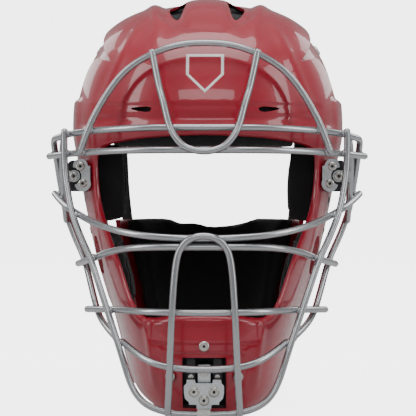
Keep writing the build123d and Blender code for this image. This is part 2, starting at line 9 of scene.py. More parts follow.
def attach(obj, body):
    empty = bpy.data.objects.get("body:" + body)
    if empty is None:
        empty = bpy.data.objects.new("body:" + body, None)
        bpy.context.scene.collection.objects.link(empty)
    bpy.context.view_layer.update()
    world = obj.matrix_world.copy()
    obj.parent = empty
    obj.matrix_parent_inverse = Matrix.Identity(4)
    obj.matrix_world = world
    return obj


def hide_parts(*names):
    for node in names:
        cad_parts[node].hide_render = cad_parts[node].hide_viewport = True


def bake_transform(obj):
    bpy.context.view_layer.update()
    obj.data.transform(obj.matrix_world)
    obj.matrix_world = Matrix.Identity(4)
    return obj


# Looks for the catcher's helmet. Helpers work in millimetres about the ear line, as the CAD drawing does.
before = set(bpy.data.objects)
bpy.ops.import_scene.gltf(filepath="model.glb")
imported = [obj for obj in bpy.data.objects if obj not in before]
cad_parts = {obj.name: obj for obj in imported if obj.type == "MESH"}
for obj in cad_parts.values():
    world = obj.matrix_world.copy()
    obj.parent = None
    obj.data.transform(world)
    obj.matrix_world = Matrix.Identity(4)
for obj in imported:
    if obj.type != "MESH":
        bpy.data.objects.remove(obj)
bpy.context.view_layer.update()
ORIGIN_Y = 20.9
MM = 0.001

# ---- the skin
CROWN_TOP, CROWN_BASE = 351.0, 235.0
SIDE_DOME, FRONT_DOME, BACK_DOME = 2.4, 2.1, 2.2
HALF_WIDTH = ((0, 48), (17, 60), (36, 66.5), (55, 71.5), (90, 81), (123, 91.5), (146, 98), (175, 104.5),
              (208, 110.5), (235, 115))
FRONT_REACH = ((0, 134), (20, 144), (60, 150), (85, 148), (130, 141), (180, 133), (235, 127))
BACK_REACH = ((0, 96), (60, 106), (110, 115), (160, 123), (200, 129), (235, 132))
FRONT_ROUND = ((0, 2.7), (85, 2.65), (180, 2.35), (235, 2.25))
BACK_ROUND = ((0, 2.9), (90, 2.8), (180, 2.4), (235, 2.1))
TABLE_Z = np.linspace(0, 235, 941)
NUDGE = 0.4  # half the span of the slopes taken on the skin


def smooth(keys, z):
    """Hermite curve through (height, value) keys, level at the top one."""
    z = min(max(z, keys[0][0]), keys[-1][0])
    last = len(keys) - 1
    i = max(k for k in range(last) if z >= keys[k][0])

    def slope(j):
        low = max(j - 1, 0)
        return 0.0 if j == last else (keys[j + 1][1] - keys[low][1]) / (keys[j + 1][0] - keys[low][0])

    (z0, v0), (z1, v1) = keys[i], keys[i + 1]
    h = z1 - z0
    t = (z - z0) / h
    held = (2 * t**3 - 3 * t**2 + 1) * v0 + (3 * t**2 - 2 * t**3) * v1
    return held + (t**3 - 2 * t**2 + t) * h * slope(i) + (t**3 - t**2) * h * slope(i + 1)


TABLES = [
    np.array([smooth(keys, z) for z in TABLE_Z])
    for keys in (HALF_WIDTH, FRONT_REACH, BACK_REACH, FRONT_ROUND, BACK_ROUND)
]


def reach(z, depth):
    """Half width, front reach, back reach and both exponents at heights z, a depth under the skin."""
    z = np.asarray(z, float)
    wide, front, back, nf, nb = (np.interp(z, TABLE_Z, t) for t in TABLES)
    t = np.clip((z - CROWN_BASE) / (CROWN_TOP - depth - CROWN_BASE), 0, 0.9999)
    wide = (wide - depth) * (1 - t**SIDE_DOME) ** (1 / SIDE_DOME)
    front = (front - depth) * (1 - t**FRONT_DOME) ** (1 / FRONT_DOME)
    back = (back - depth) * (1 - t**BACK_DOME) ** (1 / BACK_DOME)
    return wide, front, back, nf, nb


def field(p, depth=0.0):
    """Negative inside the skin, positive outside."""
    wide, front, back, nf, nb = reach(p[..., 2], depth)
    rear = p[..., 1] >= 0
    n = np.where(rear, nb, nf)
    long = np.where(rear, back, front)
    out = (np.abs(p[..., 0]) / wide) ** n + (np.abs(p[..., 1]) / long) ** n - 1
    return np.where(p[..., 2] > CROWN_TOP - depth, 1.0 + out, out)


def rise(p, depth=0.0):
    """Change of the field over two nudges along each axis."""
    return np.stack([field(p + NUDGE * a, depth) - field(p - NUDGE * a, depth) for a in np.eye(3)], -1)


def normals(p, depth=0.0):
    """Outward unit normals at points on the skin."""
    g = rise(p, depth)
    return g / np.maximum(np.linalg.norm(g, axis=-1, keepdims=True), 1e-9)


def front_y(x, z, depth=0.0):
    wide, front, _, n, _ = reach(z, depth)
    return -front * (1 - np.clip(np.abs(x) / wide, 0, 1) ** n) ** (1 / n)


def side_x(y, z, depth=0.0):
    wide, front, back, nf, nb = reach(z, depth)
    y = np.asarray(y, float)
    n = np.where(y >= 0, nb, nf)
    long = np.where(y >= 0, back, front)
    return wide * (1 - np.clip(np.abs(y) / long, 0, 1) ** n) ** (1 / n)


EYE = np.array((0.0, -10.0, 190.0))  # the shells are drawn as seen from here


def cast(phi, psi, depth=0.0):
    """Points of the skin along directions: psi from straight ahead, phi round that axis from straight up."""
    phi, psi = np.broadcast_arrays(np.asarray(phi, float), np.asarray(psi, float))
    d = np.stack([np.sin(psi) * np.sin(phi), -np.cos(psi), np.sin(psi) * np.cos(phi)], -1)
    low, high = np.full(phi.shape, 20.0), np.full(phi.shape, 300.0)
    for _ in range(34):
        mid = (low + high) / 2
        out = field(EYE + d * mid[..., None], depth) > 0
        high = np.where(out, mid, high)
        low = np.where(out, low, mid)
    return EYE + d * low[..., None]


def polar(points):
    """phi and psi of points."""
    d = np.asarray(points, float) - EYE
    return np.arctan2(d[..., 0], d[..., 2]), np.arccos(-d[..., 1] / np.linalg.norm(d, axis=-1))


# ---- mesh helpers
def to_world(v):
    v = np.array(v, float)
    v[..., 1] += ORIGIN_Y
    return v * MM


def new_object(name, verts, faces, material, smooth_shade=True):
    """Mesh object from millimetre points about the ear line."""
    mesh = bpy.data.meshes.new(name)
    mesh.from_pydata([tuple(v) for v in to_world(verts)], [], [tuple(f) for f in faces])
    mesh.update()
    if smooth_shade:
        mesh.polygons.foreach_set("use_smooth", [True] * len(mesh.polygons))
    mesh.materials.append(material)
    obj = bpy.data.objects.new(name, mesh)
    bpy.context.scene.collection.objects.link(obj)
    return obj


def ring_faces(rings, sides, base=0):
    """Quads between rings of points that follow one another."""
    return [
        (base + i * sides + k, base + i * sides + (k + 1) % sides,
         base + (i + 1) * sides + (k + 1) % sides, base + (i + 1) * sides + k)
        for i in range(rings - 1)
        for k in range(sides)
    ]


def grid_faces(cols, rows, closed=False):
    """Quads of a grid stored column by column."""
    last = cols if closed else cols - 1
    return [
        (i * rows + j, (i + 1) % cols * rows + j, (i + 1) % cols * rows + j + 1, i * rows + j + 1)
        for i in range(last)
        for j in range(rows - 1)
    ]


def outward_faces(obj):
    bm = bmesh.new()
    bm.from_mesh(obj.data)
    bmesh.ops.recalc_face_normals(bm, faces=bm.faces)
    bm.to_mesh(obj.data)
    bm.free()
    return obj


def mesh_of(obj):
    """Applies the modifiers of an object."""
    bpy.context.view_layer.update()
    done = bpy.data.meshes.new_from_object(obj.evaluated_get(bpy.context.evaluated_depsgraph_get()))
    obj.modifiers.clear()
    obj.data = done
    return obj


def chaikin(points, times=2):
    """Rounds the corners of a polyline, keeping its ends."""
    p = np.array(points, float)
    for _ in range(times):
        q, r = p[:-1] * 0.75 + p[1:] * 0.25, p[:-1] * 0.25 + p[1:] * 0.75
        mid = np.stack([q, r], 1).reshape(-1, p.shape[1])
        p = np.vstack([p[:1], mid[1:-1], p[-1:]])
    return p


def resample(points, count):
    p = np.array(points, float)
    s = np.concatenate([[0], np.cumsum(np.linalg.norm(np.diff(p, axis=0), axis=1))])
    t = np.linspace(0, s[-1], count)
    return np.stack([np.interp(t, s, p[:, k]) for k in range(p.shape[1])], -1)


# ---- materials
class Shader:
    """Small helper for one Principled material with procedural detail."""

    def __init__(self, name, color, roughness, metallic=0.0, **more):
        self.mat = bpy.data.materials.new(name)
        self.mat.use_nodes = True
        self.nodes, self.links = self.mat.node_tree.nodes, self.mat.node_tree.links
        self.bsdf = self.nodes["Principled BSDF"]
        self.set("Base Color", (*color, 1.0))
        self.set("Roughness", roughness)
        self.set("Metallic", metallic)
        for key, value in more.items():
            self.set(key.replace("_", " ").title().replace("Ior", "IOR"), value)
        self.coords = self.nodes.new("ShaderNodeTexCoord").outputs["Object"]
        self.height = None

    def set(self, socket, value):
        self.bsdf.inputs[socket].default_value = value

    def node(self, kind, inputs=None, **props):
        n = self.nodes.new(kind)
        for k, v in props.items():
            setattr(n, k, v)
        for k, v in (inputs or {}).items():
            if isinstance(v, bpy.types.NodeSocket):
                self.links.new(v, n.inputs[k])
            else:
                n.inputs[k].default_value = v
        return n

    def noise(self, scale, detail=2.0, rough=0.5):
        n = self.node("ShaderNodeTexNoise", {"Scale": scale, "Detail": detail, "Roughness": rough})
        self.links.new(self.coords, n.inputs["Vector"])
        return n.outputs["Fac"]

    def ramp(self, value, low, high, a, b):
        limits = {"From Min": low, "From Max": high, "To Min": a, "To Max": b}
        n = self.node("ShaderNodeMapRange", {"Value": value, **limits})
        return n.outputs["Result"]

    def mix(self, factor, a, b):
        n = self.node("ShaderNodeMix", data_type="RGBA")
        self.links.new(factor, n.inputs["Factor"])
        n.inputs["A"].default_value = (*a, 1.0)
        n.inputs["B"].default_value = (*b, 1.0)
        return n.outputs["Result"]

    def vary(self, socket, source):
        self.links.new(source, self.bsdf.inputs[socket])
        return self

    def bump(self, height, strength, distance):
        n = self.node("ShaderNodeBump", {"Strength": strength, "Distance": distance, "Height": height})
        if self.height is not None:
            self.links.new(self.height, n.inputs["Normal"])
        self.height = n.outputs["Normal"]
        self.links.new(self.height, self.bsdf.inputs["Normal"])
        return self

    def math(self, op, a, b=0.0):
        return self.node("ShaderNodeMath", {0: a, 1: b}, operation=op).outputs[0]

    def wave(self, axis, scale):
        n = self.node("ShaderNodeTexWave", {"Scale": scale}, bands_direction=axis)
        self.links.new(self.coords, n.inputs["Vector"])
        return n.outputs["Fac"]


def red_gloss():
    coat = {"Coat_Weight": 0.8, "Coat_Roughness": 0.035, "Coat_Ior": 1.5}
    s = Shader("shell_red_gloss", (0.37, 0.0026, 0.0205), 0.36, **coat)
    cloud = s.ramp(s.noise(16, 3), 0.3, 0.7, 0, 1)
    s.vary("Base Color", s.mix(cloud, (0.35, 0.0022, 0.0190), (0.39, 0.0032, 0.0225)))
    s.vary("Roughness", s.ramp(s.noise(220, 3), 0.3, 0.7, 0.28, 0.40))
    return s.bump(s.noise(260, 1), 0.035, 0.0004).mat


def black_fabric(name, color=(0.0105, 0.0108, 0.0118)):
    """Brushed knit over foam: fine loops, a little fuzz and slow variation."""
    s = Shader(name, color, 0.92, Sheen_Weight=0.16, Sheen_Roughness=0.5, Specular_Ior_Level=0.28)
    fine = s.math("MULTIPLY", s.wave("X", 420), s.wave("Z", 420))
    fuzz = s.noise(1500, 2, 0.7)
    light = tuple(c * 2.1 for c in color)
    blotch = s.math("ADD", s.math("MULTIPLY", fuzz, 0.7), s.math("MULTIPLY", s.noise(30, 3), 0.3))
    s.vary("Base Color", s.mix(s.ramp(blotch, 0.35, 0.75, 0, 1), color, light))
    s.bump(s.math("ADD", fine, s.math("MULTIPLY", fuzz, 0.8)), 0.5, 0.00035)
    return s.bump(s.noise(45, 2), 0.25, 0.0012).mat


def wire_coat():
    """Satin silver-grey powder coat with faint speckle."""
    s = Shader("wire_silver_coat", (0.42, 0.43, 0.445), 0.24, 0.88, Coat_Weight=0.4, Coat_Roughness=0.15)
    speckle = s.ramp(s.noise(900, 2), 0.35, 0.7, 0, 1)
    s.vary("Base Color", s.mix(speckle, (0.405, 0.415, 0.43), (0.44, 0.45, 0.465)))
    s.vary("Roughness", s.ramp(s.noise(60, 3), 0.3, 0.7, 0.21, 0.27))
    return s.bump(s.noise(700, 2), 0.06, 0.0002).mat


def metal(name, color, roughness, grain=400.0, strength=0.08, dark=0.6):
    s = Shader(name, color, roughness, 1.0)
    s.vary("Roughness", s.ramp(s.noise(grain, 3), 0.3, 0.7, roughness * 0.75, roughness * 1.35))
    stain = s.ramp(s.noise(90, 4), 0.35, 0.75, 0, 1)
    s.vary("Base Color", s.mix(stain, color, tuple(c * dark for c in color)))
    return s.bump(s.noise(grain, 2), strength, 0.0002).mat


def plastic(name, color, roughness, grain=500.0):
    s = Shader(name, color, roughness)
    s.vary("Roughness", s.ramp(s.noise(120, 3), 0.3, 0.7, roughness * 0.85, roughness * 1.2))
    cloud = s.ramp(s.noise(70, 3), 0.3, 0.7, 0, 1)
    s.vary("Base Color", s.mix(cloud, color, tuple(c * 1.25 for c in color)))
    return s.bump(s.noise(grain, 2), 0.18, 0.0003).mat


def webbing(name):
    """Woven elastic: ribs along the strap, with picks across them."""
    s = Shader(name, (0.014, 0.014, 0.0155), 0.8, Sheen_Weight=0.2)
    ribs = s.wave("X", 330)
    picks = s.wave("Z", 500)
    s.vary("Base Color", s.mix(ribs, (0.009, 0.009, 0.010), (0.024, 0.024, 0.027)))
    return s.bump(s.math("ADD", ribs, s.math("MULTIPLY", picks, 0.6)), 0.7, 0.0005).mat


RED = red_gloss()
FABRIC = black_fabric("pad_fabric")
FOAM = plastic("liner_foam", (0.013, 0.013, 0.014), 0.85, 900)
COAT = wire_coat()
BRACKET = metal("bracket_zinc", (0.70, 0.73, 0.75), 0.30, 300, 0.15, 0.86)
STEEL = metal("spring_steel", (0.20, 0.20, 0.21), 0.32)
NICKEL = metal("screw_nickel", (0.66, 0.64, 0.60), 0.20, 500, 0.05)
# dark screw metal, also used for the painted shade in the screws' sockets
DARK_SCREW_AND_SOCKET_SHADE = metal("screw_black", (0.055, 0.055, 0.06), 0.35)
DARK_PLASTIC = plastic("plastic_dark", (0.022, 0.022, 0.025), 0.38)
CLAMP = plastic("clamp_white", (0.52, 0.52, 0.50), 0.45)
WEBBING = webbing("strap_webbing")
WHITE_INK = plastic("decal_white", (0.80, 0.80, 0.80), 0.3, 300)

CAD_LOOKS = {
    "chin_housing": DARK_PLASTIC, "chin_guide_rails": DARK_PLASTIC, "chin_rail_screws": NICKEL,
    "chin_spring": STEEL, "nape_strap_rivets": NICKEL,
    "chin_plate": BRACKET, "chin_slider": BRACKET, "chin_plunger": NICKEL, "chin_clamp": CLAMP,
    "chin_plate_screws": NICKEL, "chin_housing_screws": NICKEL, "side_pad_screws": DARK_SCREW_AND_SOCKET_SHADE,
    "crown_screws": NICKEL,
    "strap_snaps": NICKEL, "strap_rivets": NICKEL, "side_strap_rivets": NICKEL,
}
for side in ("left", "right"):
    CAD_LOOKS.update({
        f"side_housing_{side}": DARK_PLASTIC, f"side_cover_{side}": BRACKET, f"side_carrier_{side}": BRACKET,
        f"side_plunger_{side}": NICKEL, f"side_spring_{side}": STEEL, f"carrier_screw_{side}": NICKEL,
        f"cover_screws_{side}": NICKEL,
    })
for name, look in CAD_LOOKS.items():
    for material_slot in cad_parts[name].material_slots:
        material_slot.material = look


# ---- shells
def step(x, low, high):
    t = np.clip((x - low) / (high - low), 0, 1)
    return t * t * (3 - 2 * t)


def hump(x, centre, width):
    return np.exp(-(((x - centre) / width) ** 2))


def relief(p):
    """Moulded relief of the front shell, in millimetres out of the skin."""
    x, y, z = np.abs(p[..., 0]), p[..., 1], p[..., 2]
    out = np.zeros(x.shape)
    # the crown is a little lower beside its middle panel
    crown = step(z, 296, 330)
    out -= 3.4 * crown * hump(x, 46, 30)
    # scooped bay behind a crisp crease: floor 316 in the middle, rising to both sides
    crease = 316.5 + 4.0 * step(x, 12, 27) + 0.75 * np.clip(x - 25, 0, 40)
    bay = step(z, crease - 0.6, crease + 1.8) * step(47 - x, 0, 12) * step(40 - y, 0, 25)
    out -= 3.2 * bay * (0.55 + 0.45 * step(x, 12, 24))
    out -= 4.2 * bay * hump(x, 30, 7.5) * step(z, 320, 336)
    # ridges beside the bay, running back over the crown
    out += 2.0 * hump(x, 43 + 0.10 * np.clip(y + 60, -20, 90), 6.0) * step(z, 300, 330)
    # long facet edges from the ridges down to the temples
    edge = 52 + (335 - z) * 0.42
    out += 1.1 * hump(x, edge, 5.0) * step(z, 236, 250) * step(335 - z, 0, 14)
    # rolled brow, with a shallow channel above it
    brow = step(-y, 40, 70)
    out -= 1.5 * hump(z, 243.5, 4.0) * brow * step(96 - x, 0, 12)
    out += 1.2 * hump(z, 234.0, 4.0) * brow
    out -= 0.9 * step(257 - z, 0, 2.5) * brow * step(z, 240, 250) * step(98 - x, 0, 10)
    # step round the ear panel
    out += 1.6 * step(262 - z, 0, 2.5) * step(y, -60, -46)
    # jaw: a raised border round the face opening and two facets
    jaw = step(205 - z, 0, 30) * step(z, 84, 96)
    face_edge = np.interp(z, FACE_Z, FACE_X)
    out += 1.3 * step(11.5 - (x - face_edge), 0, 1.6) * jaw * step(-y, 20, 50)
    out += 1.6 * hump(x, face_edge + 22, 4.5) * jaw * step(-y, 10, 40)
    # chin cup: raised band under the mouth, corner edges, and a flat round the window
    chin = step(92 - z, 0, 6) * step(-y, 60, 90)
    out += 1.4 * hump(x, 47 - 0.12 * (84 - z), 3.2) * chin * step(z, 18, 40)
    out += 1.2 * step(z, 62, 66) * step(44 - x, 0, 4) * chin * step(86 - z, 0, 3)
    out -= 1.2 * step(33 - x, 0, 3) * step(58 - z, 0, 3) * chin * step(z, 6, 10)
    return out


FACE_HALF = ((0, 231), (35, 230), (66, 227), (88, 222), (93.5, 215), (92, 190), (88.5, 168),
             (79.5, 143), (70, 121), (60.5, 92), (54.5, 82.5), (46, 79), (24, 83.5), (0, 85))
FACE_Z = [85, 92, 121, 143, 168, 190, 215]
FACE_X = [57, 60.5, 70, 79.5, 88.5, 92, 93.5]
SHELL_REAR = ((39.1, 347.2), (20, 328), (-22, 322), (-86, 291), (-72, 294), (-51, 297), (-46, 265),
              (-38, 259), (30, 254), (62, 244), (64, 200), (58, 158), (52, 120), (36, 66), (16, 44),
              (-60, 10))
CHIN_CURVE_R = 95.0
PSI_PER_MM = 1.0 / 110.0
SHELL_WALL = 4.0


def densify(points, longest=2.0):
    p = np.array(points, float)
    out = [p[:1]]
    for a, b in zip(p, p[1:]):
        n = max(int(np.linalg.norm(b - a) / longest), 1)
        out.append(a + (b - a) * np.arange(1, n + 1)[:, None] / n)
    return np.vstack(out)


def edge_curve(phi, psi, at):
    """psi of a boundary at given phi, kept single-valued."""
    phi = np.maximum.accumulate(phi + np.arange(len(phi)) * 1e-7)
    return np.interp(at, phi, psi)


def half_boundaries():
    """phi and psi of the face opening and of the rear edge, right half, from the top down."""
    face = densify(chaikin(FACE_HALF, 3))
    inner = np.stack([face[:, 0], front_y(face[:, 0], face[:, 1]), face[:, 1]], -1)
    rear = densify(chaikin(SHELL_REAR, 2))
    outer = np.stack([side_x(rear[:, 0], rear[:, 1]), rear[:, 0], rear[:, 1]], -1)
    top_half = outer[:, 2] > 60
    curve = CHIN_CURVE_R - np.sqrt(CHIN_CURVE_R**2 - np.minimum(outer[:, 0], 90) ** 2)
    outer = outer[top_half | (outer[:, 2] > curve)]
    x = np.linspace(outer[-1, 0], 0, 60)
    z = CHIN_CURVE_R - np.sqrt(CHIN_CURVE_R**2 - x**2)
    chin = np.stack([x, front_y(x, z), z], -1)
    first = np.array([[0.0, outer[0, 1], outer[0, 2]]])
    outer = np.vstack([first, outer, chin[3:]])
    return inner, outer


def lip(radius, out_depth, in_depth):
    """Rows round an edge, outer face first: (millimetres short of the edge, depth)."""
    rows = []
    for a in np.radians(np.linspace(0, 90, 5)):
        rows.append((radius * (1 - math.sin(a)), out_depth + radius * (1 - math.cos(a))))
    small = radius * 0.7
    for a in np.radians(np.linspace(90, 0, 4)):
        rows.append((small * (1 - math.sin(a)), in_depth - small * (1 - math.cos(a))))
    return rows


def shell_mesh(phi, psi_a, psi_b, rows, out_depth, in_depth, shape, closed=True, radius=1.3):
    """Wall of a shell between two edges, with rounded lips, as one closed skin round each column."""
    edge_rows = lip(radius, out_depth, in_depth)[1:]
    lo, hi = psi_a + radius * PSI_PER_MM, psi_b - radius * PSI_PER_MM
    wall = in_depth - out_depth
    skin_rows = [(lo + (hi - lo) * t, out_depth, 1.0) for t in np.linspace(0, 1, rows)]
    for m, d in edge_rows:
        skin_rows.append((psi_b - m * PSI_PER_MM, d, 1.0 - min((d - out_depth) / wall, 1.0)))
    for t in np.linspace(1, 0, max(rows // 4, 8))[1:-1]:
        skin_rows.append((lo + (hi - lo) * t, in_depth, 0.0))
    for m, d in reversed(edge_rows):
        skin_rows.append((psi_a + m * PSI_PER_MM, d, 1.0 - min((d - out_depth) / wall, 1.0)))
    points = []
    for psi, depth, outer in skin_rows:
        p = cast(phi, psi, depth)
        base = p if depth == out_depth else cast(phi, psi, out_depth)
        points.append(p + normals(base, out_depth) * (shape(base) * (0.35 + 0.65 * outer))[:, None])
    grid = np.stack(points, 1)
    cols, count = grid.shape[0], grid.shape[1]
    verts = grid.reshape(-1, 3)
    last = cols if closed else cols - 1
    faces = [
        (i * count + j, (i + 1) % cols * count + j,
         (i + 1) % cols * count + (j + 1) % count, i * count + (j + 1) % count)
        for i in range(last)
        for j in range(count)
    ]
    if not closed:
        faces += [tuple(range(count)), tuple((cols - 1) * count + j for j in reversed(range(count)))]
    return verts, faces


def columns_for(outer, count):
    """phi of each column, spread by the length of the outer edge and by turn."""
    phi_o = np.maximum.accumulate(polar(outer)[0])
    s = np.concatenate([[0], np.cumsum(np.linalg.norm(np.diff(outer, axis=0), axis=1))])
    s = s / s[-1] + 1.2 * phi_o / math.pi
    return np.interp(np.linspace(s[0], s[-1], count), s, phi_o)


def cutter(outline, to_points, low, high):
    """Prism between two levels from an outline of 2-D points."""
    n = len(outline)
    verts = [to_points(a, b, low) for a, b in outline] + [to_points(a, b, high) for a, b in outline]
    faces = [tuple(range(n)), tuple(range(2 * n - 1, n - 1, -1))]
    faces += [(i, i + n, (i + 1) % n + n, (i + 1) % n) for i in range(n)]
    return verts, faces


def round_outline(points, times=3):
    """Closed outline with rounded corners."""
    p = np.array(points, float)
    for _ in range(times):
        nxt = np.roll(p, -1, axis=0)
        p = np.stack([p * 0.75 + nxt * 0.25, p * 0.25 + nxt * 0.75], 1).reshape(-1, 2)
    return [tuple(v) for v in p]


def slot_outline(cx, cy, length, width, tilt):
    c, s = math.cos(math.radians(tilt)), math.sin(math.radians(tilt))
    out = []
    for sign in (1, -1):
        for a in np.linspace(-90, 90, 9):
            u = sign * ((length - width) / 2 + width / 2 * math.cos(math.radians(a)))
            v = sign * width / 2 * math.sin(math.radians(a))
            out.append((cx + u * c - v * s, cy + u * s + v * c))
    return out


def signed_volume(verts, faces):
    p = np.array(verts, float)
    p = p - p.mean(0)
    fans = [(g[0], g[k], g[k + 1]) for g in faces for k in range(1, len(g) - 1)]
    return sum(float(np.dot(p[a], np.cross(p[b], p[c]))) for a, b, c in fans)


def cut(obj, prisms):
    """Cuts prisms out of an object."""
    verts, faces = [], []
    for v, f in prisms:
        base = len(verts)
        if signed_volume(v, f) < 0:
            f = [tuple(reversed(g)) for g in f]
        verts += v
        faces += [tuple(i + base for i in g) for g in f]
    tool = outward_faces(new_object(obj.name + "_cutters", verts, faces, RED, False))
    mod = obj.modifiers.new("cut", "BOOLEAN")
    mod.operation, mod.solver, mod.object = "DIFFERENCE", "MANIFOLD", tool
    mesh_of(obj)
    bpy.data.objects.remove(tool)
    return obj


def sharpen(obj, degrees=38):
    """Keeps creases crisp where faces meet at more than this angle."""
    obj.data.polygons.foreach_set("use_smooth", [True] * len(obj.data.polygons))
    obj.data.set_sharp_from_angle(angle=math.radians(degrees))
    return obj


ROWS, COLUMNS = ((110, 330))
inner, outer = half_boundaries()
half_phi = columns_for(outer, COLUMNS)
phi_i, psi_i = polar(inner)
phi_o, psi_o = polar(outer)
half_in = edge_curve(phi_i, psi_i, half_phi)
half_out = edge_curve(phi_o, psi_o, half_phi)
phi = np.concatenate([half_phi, -half_phi[-2:0:-1]])
psi_a = np.concatenate([half_in, half_in[-2:0:-1]])
psi_b = np.concatenate([half_out, half_out[-2:0:-1]])
verts, faces = shell_mesh(phi, psi_a, psi_b, ROWS, 0.0, SHELL_WALL, relief)
front = outward_faces(new_object("front_shell_moulding", verts, faces, RED))


def from_above(a, b, t):
    return (a, b, t)


def from_front(a, b, t):
    return (a, t, b)


def from_side(a, b, t):
    return (t, a, b)


def from_turn(degrees):
    """Places an outline on a plane that faces a turn round the vertical."""
    c, s = math.cos(math.radians(degrees)), math.sin(math.radians(degrees))
    return lambda a, b, t: (t * c - a * s, t * s + a * c, b)


CROWN_VENT = ((24, -68), (29, -58), (33, -36), (27, -16), (14, -16), (18.5, -42), (20.5, -60))
BROW_VENT = ((42.5, 253.6), (61, 252.6), (59, 250.6), (45, 248.2))
JAW_VENT = ((-64, 146), (-50, 146), (-44, 118), (-56, 112), (-66, 126))
EAR_SLOTS = ((0, 196), (0, 187), (0, 178), (0, 169))
# the lower edge is 2.4 mm above the CAD's window, level with the housing behind it
WINDOW = ((-17.4, 11.0), (17.4, 11.0), (17.4, 52.5), (-17.4, 52.5))
prisms = []
for side in (1, -1):
    crown_vent = round_outline([(side * a, b) for a, b in CROWN_VENT], 2)
    brow_vent = round_outline([(side * a, b) for a, b in BROW_VENT], 1)
    prisms.append(cutter(crown_vent, from_above, 300, 380))
    prisms.append(cutter(brow_vent, from_front, -220, -60))
    prisms.append(cutter(round_outline(JAW_VENT, 1), from_side, side * 60, side * 160))
    for y, z in EAR_SLOTS:
        prisms.append(cutter(slot_outline(y, z, 16, 4, 0), from_side, side * 60, side * 160))
prisms.append(cutter(WINDOW, from_front, -220, -100))
cut(front, prisms)
sharpen(front, 40)
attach(front, "helmet")
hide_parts("front_shell")


# rear shell, under the front one
REAR_KEEP = ((24, 352), (-8, 328), (-36, 322), (-98, 298), (-96, 281), (-62, 281), (-60, 252), (16, 243),
             (40, 236), (44, 226))
REAR_OUT, REAR_IN = 4.5, 8.1
REAR_FOOT_Z = 226
REAR_COLUMNS = 260
rear_edge = densify(REAR_KEEP)
rear_x = side_x(rear_edge[:, 0], rear_edge[:, 1], REAR_OUT)
rear_points = np.stack([rear_x, rear_edge[:, 0], rear_edge[:, 1]], -1)
rear_points = rear_points[rear_points[:, 0] > 6]
foot_phi = np.linspace(0.0001, math.radians(71.5), REAR_COLUMNS)
low, high = np.full(REAR_COLUMNS, math.radians(95)), np.full(REAR_COLUMNS, math.radians(179))
for _ in range(30):
    mid = (low + high) / 2
    above = cast(foot_phi, mid, REAR_OUT)[:, 2] > REAR_FOOT_Z
    low = np.where(above, mid, low)
    high = np.where(above, high, mid)
rp, rq = polar(rear_points)
half_a = edge_curve(np.concatenate([[0], rp]), np.concatenate([rq[:1], rq]), foot_phi)
half_b = np.maximum(low, half_a + 0.03)
phi = np.concatenate([-foot_phi[::-1], foot_phi[1:]])
psi_a = np.concatenate([half_a[::-1], half_a[1:]])
psi_b = np.concatenate([half_b[::-1], half_b[1:]])


def rear_relief(p):
    """Low ribs and a lowered panel on the back of the rear shell."""
    x, y, z = np.abs(p[..., 0]), p[..., 1], p[..., 2]
    back = step(y, 30, 60)
    out = 1.4 * hump(z, 233, 4.5) * back * (1 - hump(x, 84, 16))
    out -= 1.4 * step(34 - x, 0, 4) * step(z, 250, 256) * step(318 - z, 0, 8) * back
    out += 1.2 * hump(x, 52, 5) * step(z, 240, 256) * back * step(332 - z, 0, 20)
    return out


verts, faces = shell_mesh(phi, psi_a, psi_b, ROWS, REAR_OUT, REAR_IN, rear_relief, closed=False)
rear = outward_faces(new_object("rear_shell_moulding", verts, faces, RED))
prisms = []
for side in (1, -1):
    for y, z, length, width in ((-64, 304.5, 15, 2.6), (-74, 299.5, 9, 4.6)):
        prisms.append(cutter(slot_outline(y, z, length, width, -82), from_side, side * 40, side * 160))
for turn in (62, 76, 104, 118):
    prisms.append(cutter(slot_outline(0, 276, 26, 6, 90), from_turn(turn), 60, 170))
cut(rear, prisms)
sharpen(rear, 40)
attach(rear, "helmet")
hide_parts("rear_shell")


# nape plate: drawn by turns and heights round the back
def level_point(turn, z, depth):
    """Point of the level section, turn 0 at the right ear and 90 at the back."""
    wide, _, back, _, nb = reach(z, depth)
    c, s = np.cos(np.radians(turn)), np.sin(np.radians(turn))
    x = wide * np.sign(c) * np.abs(c) ** (2 / nb)
    return np.stack([x, back * np.abs(s) ** (2 / nb), np.broadcast_to(z, x.shape)], -1)


PLATE_FRONT = ((42, 0), (42, 24), (50, 60), (62, 120), (68, 158))
PLATE_TOP = 156.0
PLATE_NOTCH_Z, PLATE_NOTCH_R = 268.0, 120.0  # round notch in the top edge
PLATE_GRID = (150, 90)


def plate_grid(depth, inset, shape=None):
    """Grid over the nape plate, left side to right, foot to top."""
    cols, rows = PLATE_GRID
    grid = []
    u = np.linspace(-1, 1, cols)
    for k in range(rows):
        v = k / (rows - 1)
        z = np.full(cols, inset + v * (PLATE_TOP - 2 * inset))
        for _ in range(3):
            y0 = np.interp(z, [q[1] for q in PLATE_FRONT], [q[0] for q in PLATE_FRONT]) + inset
            _, _, back, _, nb = reach(z, depth)
            start = np.degrees(np.arcsin(np.clip(y0 / back, 0, 1) ** (nb / 2)))
            turn = 90 - u * (90 - start)
            p = level_point(turn, z, depth)
            notch = PLATE_NOTCH_Z - np.sqrt(np.maximum(PLATE_NOTCH_R**2 - p[:, 0] ** 2, 0))
            top = np.minimum(PLATE_TOP, notch) - inset
            z = inset + v * (top - inset)
        if shape is not None:
            p = p + normals(p, depth) * shape(p)[:, None]
        grid.append(p)
    return np.stack(grid, 1)


def wall_from(outer_grid, inner_grid):
    """Closed wall between two grids of the same size."""
    cols, rows = outer_grid.shape[:2]
    n = cols * rows
    verts = np.vstack([outer_grid.reshape(-1, 3), inner_grid.reshape(-1, 3)])
    faces = grid_faces(cols, rows)
    faces += [tuple(i + n for i in reversed(f)) for f in grid_faces(cols, rows)]
    ring = list(range(rows)) + [i * rows + rows - 1 for i in range(1, cols)]
    ring += [(cols - 1) * rows + j for j in range(rows - 2, -1, -1)]
    ring += [i * rows for i in range(cols - 2, 0, -1)]
    faces += [(a, b, b + n, a + n) for a, b in zip(ring, ring[1:] + ring[:1])]
    return verts, faces


